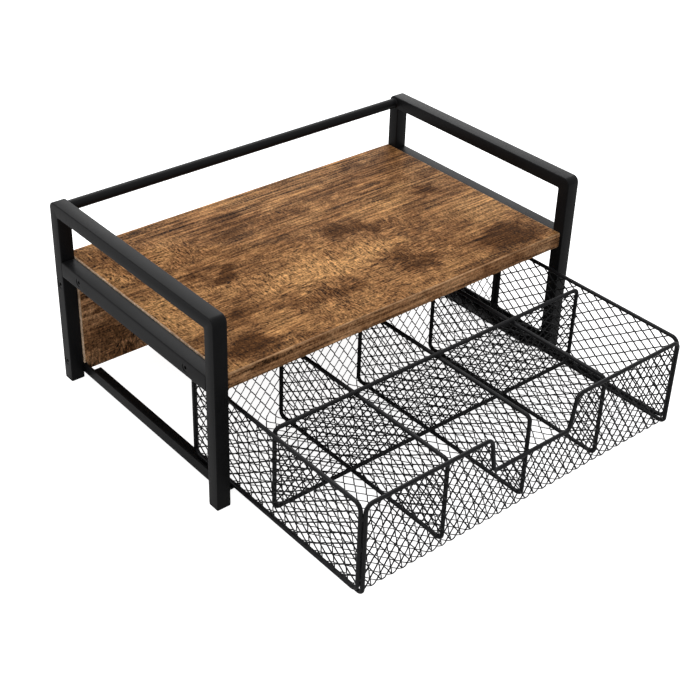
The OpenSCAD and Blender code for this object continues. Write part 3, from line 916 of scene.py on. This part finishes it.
def wireBox(node):
    low, high = boxInMm(node)
    inset = Vector((wireR, wireR, wireR))
    return low + inset, high - inset


def wirePiece(node, corners, radii, closed):
    path = roundedPath(corners, radii, closed, wires["bendSteps"])
    shape = sweptTube(path, wireR, closed, wires["sides"])
    makePiece(node + "_bent", shape, drawerWire, "drawer", [node])


def makeFrameWires():
    low, high = wireBox("front_frame_wire")
    front, back = low.y, wireBox("rear_frame_wire")[1].y
    joint = (front + back) / 2
    x0, x1, z0, z1 = low.x, high.x, low.z, high.z
    zn = z1 - wires["notchDepth"]
    top, bottom = wires["notchTop"] / 2, wires["notchBottom"] / 2
    wide, tight = wires["bend"], wires["tightBend"]
    wirePiece("front_frame_wire", [
        (x0, joint, z0), (x0, front, z0), (x0, front, z1), (-top, front, z1), (-bottom, front, zn),
        (bottom, front, zn), (top, front, z1), (x1, front, z1), (x1, front, z0), (x1, joint, z0),
    ], [0, tight, wide, wide, tight, tight, wide, wide, tight, 0], False)
    wirePiece("rear_frame_wire", [
        (x0, joint, z0), (x0, back, z0), (x0, back, z1), (x1, back, z1), (x1, back, z0), (x1, joint, z0),
    ], [0, tight, wide, wide, tight, 0], False)
    return joint


def makeLoops():
    wide, tight = wires["bend"], wires["tightBend"]
    for node, bend in (("left_side_wire", wide), ("right_side_wire", wide), ("left_divider_wire", tight),
                       ("middle_divider_wire", tight), ("right_divider_wire", tight)):
        low, high = wireBox(node)
        x = (low.x + high.x) / 2
        wirePiece(node, [(x, low.y, low.z), (x, high.y, low.z), (x, high.y, high.z), (x, low.y, high.z)],
                  [bend] * 4, True)
    low, high = wireBox("cross_divider_wire")
    y = (low.y + high.y) / 2
    wirePiece("cross_divider_wire",
              [(low.x, y, low.z), (high.x, y, low.z), (high.x, y, high.z), (low.x, y, high.z)],
              [tight] * 4, True)


frameJoint = makeFrameWires()
makeLoops()
print("wires made")


# Weld beads where the wires meet

welds = {
    "size": 1.9,
    "spread": 0.15,          # how much one bead's size differs from another's
    "reach": (1.15, 0.85, 0.72),
    "rough": 0.22,
    "bumps": 1.7,
    "sides": 10,
    "rings": 7,
    "fill": 0.7,
    "fillSides": 8,
    "pastBend": 1.0,         # where a fill starts, past the bend of its wires
    "fromEnd": 10,           # of an upright wire
    "fromCorner": 18,        # of a lengthwise wire
    "perSide": 5,
    "crossOut": 1.2,
    "crossUp": 8,
}


def weldBead(middle, along, across, seed):
    size = welds["size"] * random.Random(seed).uniform(1 - welds["spread"], 1 + welds["spread"])
    along, across = Vector(along).normalized(), Vector(across).normalized()
    third = along.cross(across)
    reach = [size * r for r in welds["reach"]]
    rings, sides = welds["rings"], welds["sides"]
    verts = []
    for r in range(1, rings):
        tilt = math.pi * r / rings
        for k in range(sides):
            a = 2 * math.pi * k / sides
            out = Vector((math.cos(tilt), math.sin(tilt) * math.cos(a), math.sin(tilt) * math.sin(a)))
            bump = 1 + welds["rough"] * noise.noise(out * welds["bumps"] + Vector((seed * 2.3, 0, 0)))
            verts.append(middle + bump * (along * out.x * reach[0] + across * out.y * reach[1]
                                          + third * out.z * reach[2]))
    return verts, bandFaces(rings - 1, sides)


def makeWelds():
    frontLow, frontHigh = wireBox("front_frame_wire")
    backHigh = wireBox("rear_frame_wire")[1]
    crossLow, crossHigh = wireBox("cross_divider_wire")
    crossY = (crossLow.y + crossHigh.y) / 2
    up, deep, wide = (0, 0, 1), (0, 1, 0), (1, 0, 0)
    beads, fills = [], []
    for side, word in ((-1, "left"), (1, "right")):
        low, high = wireBox(word + "_side_wire")
        x = side * (abs(low.x) + frontHigh.x) / 2
        front, back = (low.y + frontLow.y) / 2, (high.y + backHigh.y) / 2
        bottom = (low.z + frontLow.z) / 2
        for z in (low.z + welds["fromEnd"], (low.z + high.z) / 2, high.z - welds["fromEnd"]):
            beads.append(((x, front, z), up, wide))
            beads.append(((x, back, z), up, wide))
        run = high.y - low.y - 2 * welds["fromCorner"]
        for k in range(welds["perSide"]):
            y = low.y + welds["fromCorner"] + run * k / (welds["perSide"] - 1)
            beads.append(((x, y, bottom), deep, wide))
        beads.append(((side * frontHigh.x, frameJoint, frontLow.z), deep, wide))
        beads.append(((side * (crossHigh.x + welds["crossOut"]), crossY,
                       (crossLow.z + crossHigh.z) / 2 + welds["crossUp"]), up, wide))
        # The coat fills the gap between the two wires of each side
        away = wires["bend"] + welds["pastBend"]
        for y in (front, back):
            fills.append([Vector((x, y, low.z + away)), Vector((x, y, high.z - away))])
        fills.append([Vector((x, low.y + away, bottom)), Vector((x, high.y - away, bottom))])
    for word in ("left", "middle", "right"):
        low, high = wireBox(word + "_divider_wire")
        x = (low.x + high.x) / 2
        beads.append(((x, crossY, (high.z + crossHigh.z) / 2), wide, deep))
        beads.append(((x, crossY, (low.z + crossLow.z) / 2), wide, deep))
    shapes = [sweptTube(ends, welds["fill"], False, welds["fillSides"]) for ends in fills]
    shapes += [weldBead(Vector(middle), along, across, seed)
               for seed, (middle, along, across) in enumerate(beads, 1)]
    makePiece("drawer_weld_beads", joined(shapes), drawerWire, "drawer", [])
    print(len(beads), "welds made")


makeWelds()


# Expanded-metal nets. A net is drawn flat as cells round its openings, clipped to its outline,
# given its thickness and then laid in place.

nets = {
    "long": 12.8,
    "short": 8.5,
    "strand": 0.72,         # width of a strand in the divider nets
    "sideStrand": 0.87,     # in the two side nets
    "sheetStrand": 0.80,    # and in the net of the front, floor and rear
    "thickness": 0.7,
    "bond": 0.3,            # half the length of the joint between two cells
    "tilt": 0.25,           # how far a strand's edges stand out of the sheet
    "wander": 0.2,
    "wanderScale": 0.11,
    "slowWander": 1.6,
    "fastWander": 4.2,
    "outWander": 0.8,
    "edgeShare": 0.5,       # thickness at the rim of an opening
    "sheetBend": 4.0,
    "parts": 2,             # lengths in which each strand of a side or divider net is drawn
    "sheetParts": 3,
    "cornerSteps": 5,
    "leastFaces": 12,       # smaller scraps at the rim go
    "reach": 0.01,
    "sharpAngle": 60,
}


def cellRings(halfLong, halfShort, strand, parts):
    f, s = nets["bond"], strand / 2
    corners = [Vector((halfLong - f, 0)), Vector((f, halfShort)), Vector((-f, halfShort)),
               Vector((f - halfLong, 0)), Vector((-f, -halfShort)), Vector((f, -halfShort))]
    hole = insetOutline(corners, s)
    outer, inner = [], []
    for i in range(6):
        j = (i + 1) % 6
        steps = 1 if i in (1, 4) else parts
        for k in range(steps):
            share = k / steps
            outer.append(corners[i].lerp(corners[j], share))
            inner.append(hole[i].lerp(hole[j], share))
    return outer, inner


def flatNet(sizeU, sizeV, cellU, cellV, strand, longAlongU, parts):
    columns, rows = round(sizeU / cellU), round(sizeV / cellV)
    halfU, halfV = sizeU / columns / 2, sizeV / rows / 2
    halfLong, halfShort = (halfU, halfV) if longAlongU else (halfV, halfU)
    outer, inner = cellRings(halfLong, halfShort, strand, parts)
    lifts = [-nets["tilt"] * p.y / halfShort for p in inner]
    if not longAlongU:
        outer = [Vector((p.y, p.x)) for p in reversed(outer)]
        inner = [Vector((p.y, p.x)) for p in reversed(inner)]
        lifts.reverse()
    bm = bmesh.new()
    full = bm.verts.layers.float.new("full")
    lift = bm.verts.layers.float.new("lift")
    known = {}

    def vertAt(u, v, isCentre, raised):
        key = (round(u, 3), round(v, 3))
        if key not in known:
            vert = bm.verts.new((u, v, 0))
            vert[full] = 1.0 if isCentre else nets["edgeShare"]
            vert[lift] = raised
            known[key] = vert
        return known[key]

    for a in range(2 * columns + 1):
        for b in range(2 * rows + 1):
            if (a + b) % 2:
                continue
            cu, cv = a * halfU, b * halfV
            out = [vertAt(cu + p.x, cv + p.y, True, 0) for p in outer]
            hole = [vertAt(cu + p.x, cv + p.y, False, l) for p, l in zip(inner, lifts)]
            for i in range(len(out)):
                j = (i + 1) % len(out)
                bm.faces.new((out[i], out[j], hole[j], hole[i]))
    return bm, full, lift


def insideOutline(point, outline):
    inside = False
    for i in range(len(outline)):
        a, b = outline[i - 1], outline[i]
        if (a.y > point.y) != (b.y > point.y):
            if point.x < a.x + (point.y - a.y) / (b.y - a.y) * (b.x - a.x):
                inside = not inside
    return inside


def clipNet(bm, outline):
    reach = nets["reach"]
    for i in range(len(outline)):
        a, b = outline[i - 1], outline[i]
        if (a - b).length < 1e-6:
            continue
        lowX, highX = min(a.x, b.x) - reach, max(a.x, b.x) + reach
        lowY, highY = min(a.y, b.y) - reach, max(a.y, b.y) + reach
        near = []
        for face in bm.faces:
            xs = [v.co.x for v in face.verts]
            ys = [v.co.y for v in face.verts]
            if max(xs) >= lowX and min(xs) <= highX and max(ys) >= lowY and min(ys) <= highY:
                near.append(face)
        if not near:
            continue
        edges = list(dict.fromkeys(e for f in near for e in f.edges))
        verts = list(dict.fromkeys(v for f in near for v in f.verts))
        along = b - a
        bmesh.ops.bisect_plane(bm, geom=near + edges + verts, dist=1e-4, plane_co=(a.x, a.y, 0),
                               plane_no=(along.y, -along.x, 0))
    outside = [f for f in bm.faces if not insideOutline(f.calc_center_median(), outline)]
    bmesh.ops.delete(bm, geom=outside, context="FACES")
    groups = linkedGroups(bm.faces, lambda f: [other for e in f.edges for other in e.link_faces])
    scraps = [f for group in groups if len(group) < nets["leastFaces"] for f in group]
    bmesh.ops.delete(bm, geom=scraps, context="FACES")


def netPiece(name, bm, full, lift, place, replaced, seed):
    half = nets["thickness"] / 2
    shake, scale = nets["wander"], nets["wanderScale"]
    bm.verts.index_update()
    verts = []
    for v in bm.verts:
        spot = Vector((v.co.x * scale + seed * 7.3, v.co.y * scale - seed * 3.1, seed * 1.7))
        loose = noise.noise_vector(spot) * shake * nets["slowWander"]
        loose += noise.noise_vector(spot * nets["fastWander"]) * shake
        u, w, n = v.co.x + loose.x, v.co.y + loose.y, v[lift] + loose.z * nets["outWander"]
        verts.append(place(u, w, n + half * v[full]))
        verts.append(place(u, w, n - half * v[full]))
    faces = []
    for face in bm.faces:
        ids = [v.index for v in face.verts]
        faces.append(tuple(2 * i for i in ids))
        faces.append(tuple(2 * i + 1 for i in reversed(ids)))
        for loop in face.loops:
            if len(loop.edge.link_faces) == 1:
                a, b = loop.vert.index, loop.link_loop_next.vert.index
                faces.append((2 * b, 2 * a, 2 * a + 1, 2 * b + 1))
    bm.free()
    makePiece(name, (verts, faces), drawerNet, "drawer", replaced,
              nets["sharpAngle"])


def loopNet(word, bend, seed):
    node = word + "_mesh"
    low, high = wireBox(word + "_wire")
    if word != "cross_divider":
        x = (low.x + high.x) / 2
        wide, tall = high.y - low.y, high.z - low.z
        place = lambda u, v, n: Vector((x + n, low.y + u, low.z + v))
    else:
        y = (low.y + high.y) / 2
        wide, tall = high.x - low.x, high.z - low.z
        place = lambda u, v, n: Vector((low.x + u, y + n, low.z + v))
    strand = nets["strand"] if "divider" in node else nets["sideStrand"]
    bm, full, lift = flatNet(wide, tall, nets["long"], nets["short"], strand, True, nets["parts"])
    clipNet(bm, roundedBox(0, 0, wide, tall, bend, nets["cornerSteps"]))
    netPiece(node + "_strands", bm, full, lift, place, [node], seed)


def makeBentNet():
    low, high = wireBox("front_frame_wire")
    front, back, top, floor = low.y, wireBox("rear_frame_wire")[1].y, high.z, low.z
    r = nets["sheetBend"]
    upright = top - floor - r
    arc = math.pi / 2 * r
    flat = back - front - 2 * r
    total = 2 * upright + 2 * arc + flat
    wide = high.x - low.x

    # Lays a point of the flat net round the front, the floor and the rear
    def place(u, s, n):
        x = low.x + u
        if s <= upright:
            return Vector((x, front - n, top - s))
        s -= upright
        if s <= arc:
            a = s / r
            return Vector((x, front + r - (r + n) * math.cos(a), floor + r - (r + n) * math.sin(a)))
        s -= arc
        if s <= flat:
            return Vector((x, front + r + s, floor - n))
        s -= flat
        if s <= arc:
            a = s / r
            return Vector((x, back - r + (r + n) * math.sin(a), floor + r - (r + n) * math.cos(a)))
        return Vector((x, back + n, floor + r + s - arc))

    bm, full, lift = flatNet(wide, total, nets["short"], nets["long"], nets["sheetStrand"], False,
                             nets["sheetParts"])
    topHalf, bottomHalf = wires["notchTop"] / 2, wires["notchBottom"] / 2
    middle, bend, tight = wide / 2, wires["bend"], wires["tightBend"]
    deep = wires["notchDepth"]
    outline = roundedOutline(
        [(0, 0), (middle - topHalf, 0), (middle - bottomHalf, deep), (middle + bottomHalf, deep),
         (middle + topHalf, 0), (wide, 0), (wide, total), (0, total)],
        [bend, bend, tight, tight, bend, bend, bend, bend], nets["cornerSteps"])
    clipNet(bm, outline)
    netPiece("front_floor_rear_net", bm, full, lift, place, ["front_mesh", "floor_mesh", "rear_mesh"], 1)


makeBentNet()
for seed, (word, bend) in enumerate((
        ("left_side", "bend"), ("right_side", "bend"), ("left_divider", "tightBend"),
        ("middle_divider", "tightBend"), ("right_divider", "tightBend"), ("cross_divider", "tightBend")), 2):
    loopNet(word, wires[bend], seed)
print("nets made")


# Floor, lights and background

studio = {
    "floorHalf": 8.0,
    "floorColour": (0.70, 0.70, 0.70, 1),
    "floorLift": 0.92,
    "floorInMetal": 0.2,
    "worldLight": 0.5,
    "aim": (0, 0, 0.05),
}
# Place, size and power of each lamp
lamps = {
    "overheadLight": ((-0.35, 0.35, 1.25), 1.2, 9.0),
    "backLight": ((0.95, 1.05, 0.95), 1.3, 11.5),
}


# What the camera sees directly, and what it sees in metal and glass
def seenRays(tree, direct=1.0, mirrored=1.0):
    path = tree.nodes.new("ShaderNodeLightPath")
    either = addMath(tree, "MAXIMUM", path.outputs["Is Glossy Ray"], path.outputs["Is Transmission Ray"])
    return addMath(tree, "MAXIMUM", addMath(tree, "MULTIPLY", path.outputs["Is Camera Ray"], direct),
                   addMath(tree, "MULTIPLY", either, mirrored))


def makeStudio():
    world = bpy.data.worlds.new("studioWorld")
    scene.world = world
    world.use_nodes = True
    tree = world.node_tree
    ground = tree.nodes["Background"]
    light = studio["worldLight"]
    feed(tree, ground.inputs["Color"], addMix(tree, seenRays(tree), (light, light, light, 1), (1, 1, 1, 1)))
    ground.inputs["Strength"].default_value = 1.0

    half = studio["floorHalf"]
    corners = [(-half, -half, 0), (half, -half, 0), (half, half, 0), (-half, half, 0)]
    floor = bpy.data.meshes.new("studioFloor")
    floor.from_pydata(corners, [], [(0, 1, 2, 3)])
    surface = bpy.data.materials.new("studioFloor")
    surface.use_nodes = True
    tree = surface.node_tree
    shader = tree.nodes["Principled BSDF"]
    shader.inputs["Base Color"].default_value = studio["floorColour"]
    shader.inputs["Roughness"].default_value = 1.0
    shader.inputs["Specular IOR Level"].default_value = 0.0
    shader.inputs["Emission Color"].default_value = (1, 1, 1, 1)
    lift = seenRays(tree, studio["floorLift"], studio["floorInMetal"])
    feed(tree, shader.inputs["Emission Strength"], lift)
    floor.materials.append(surface)
    ground = bpy.data.objects.new("studioFloor", floor)
    scene.collection.objects.link(ground)

    for name, (place, size, power) in lamps.items():
        data = bpy.data.lights.new(name, "AREA")
        data.shape = "SQUARE"
        data.size = size
        data.energy = power
        lamp = bpy.data.objects.new(name, data)
        scene.collection.objects.link(lamp)
        lamp.location = place
        aim = Vector(studio["aim"]) - Vector(place)
        lamp.rotation_euler = aim.to_track_quat("-Z", "Y").to_euler()
    scene.view_settings.view_transform = "Standard"


makeStudio()
print("studio made")
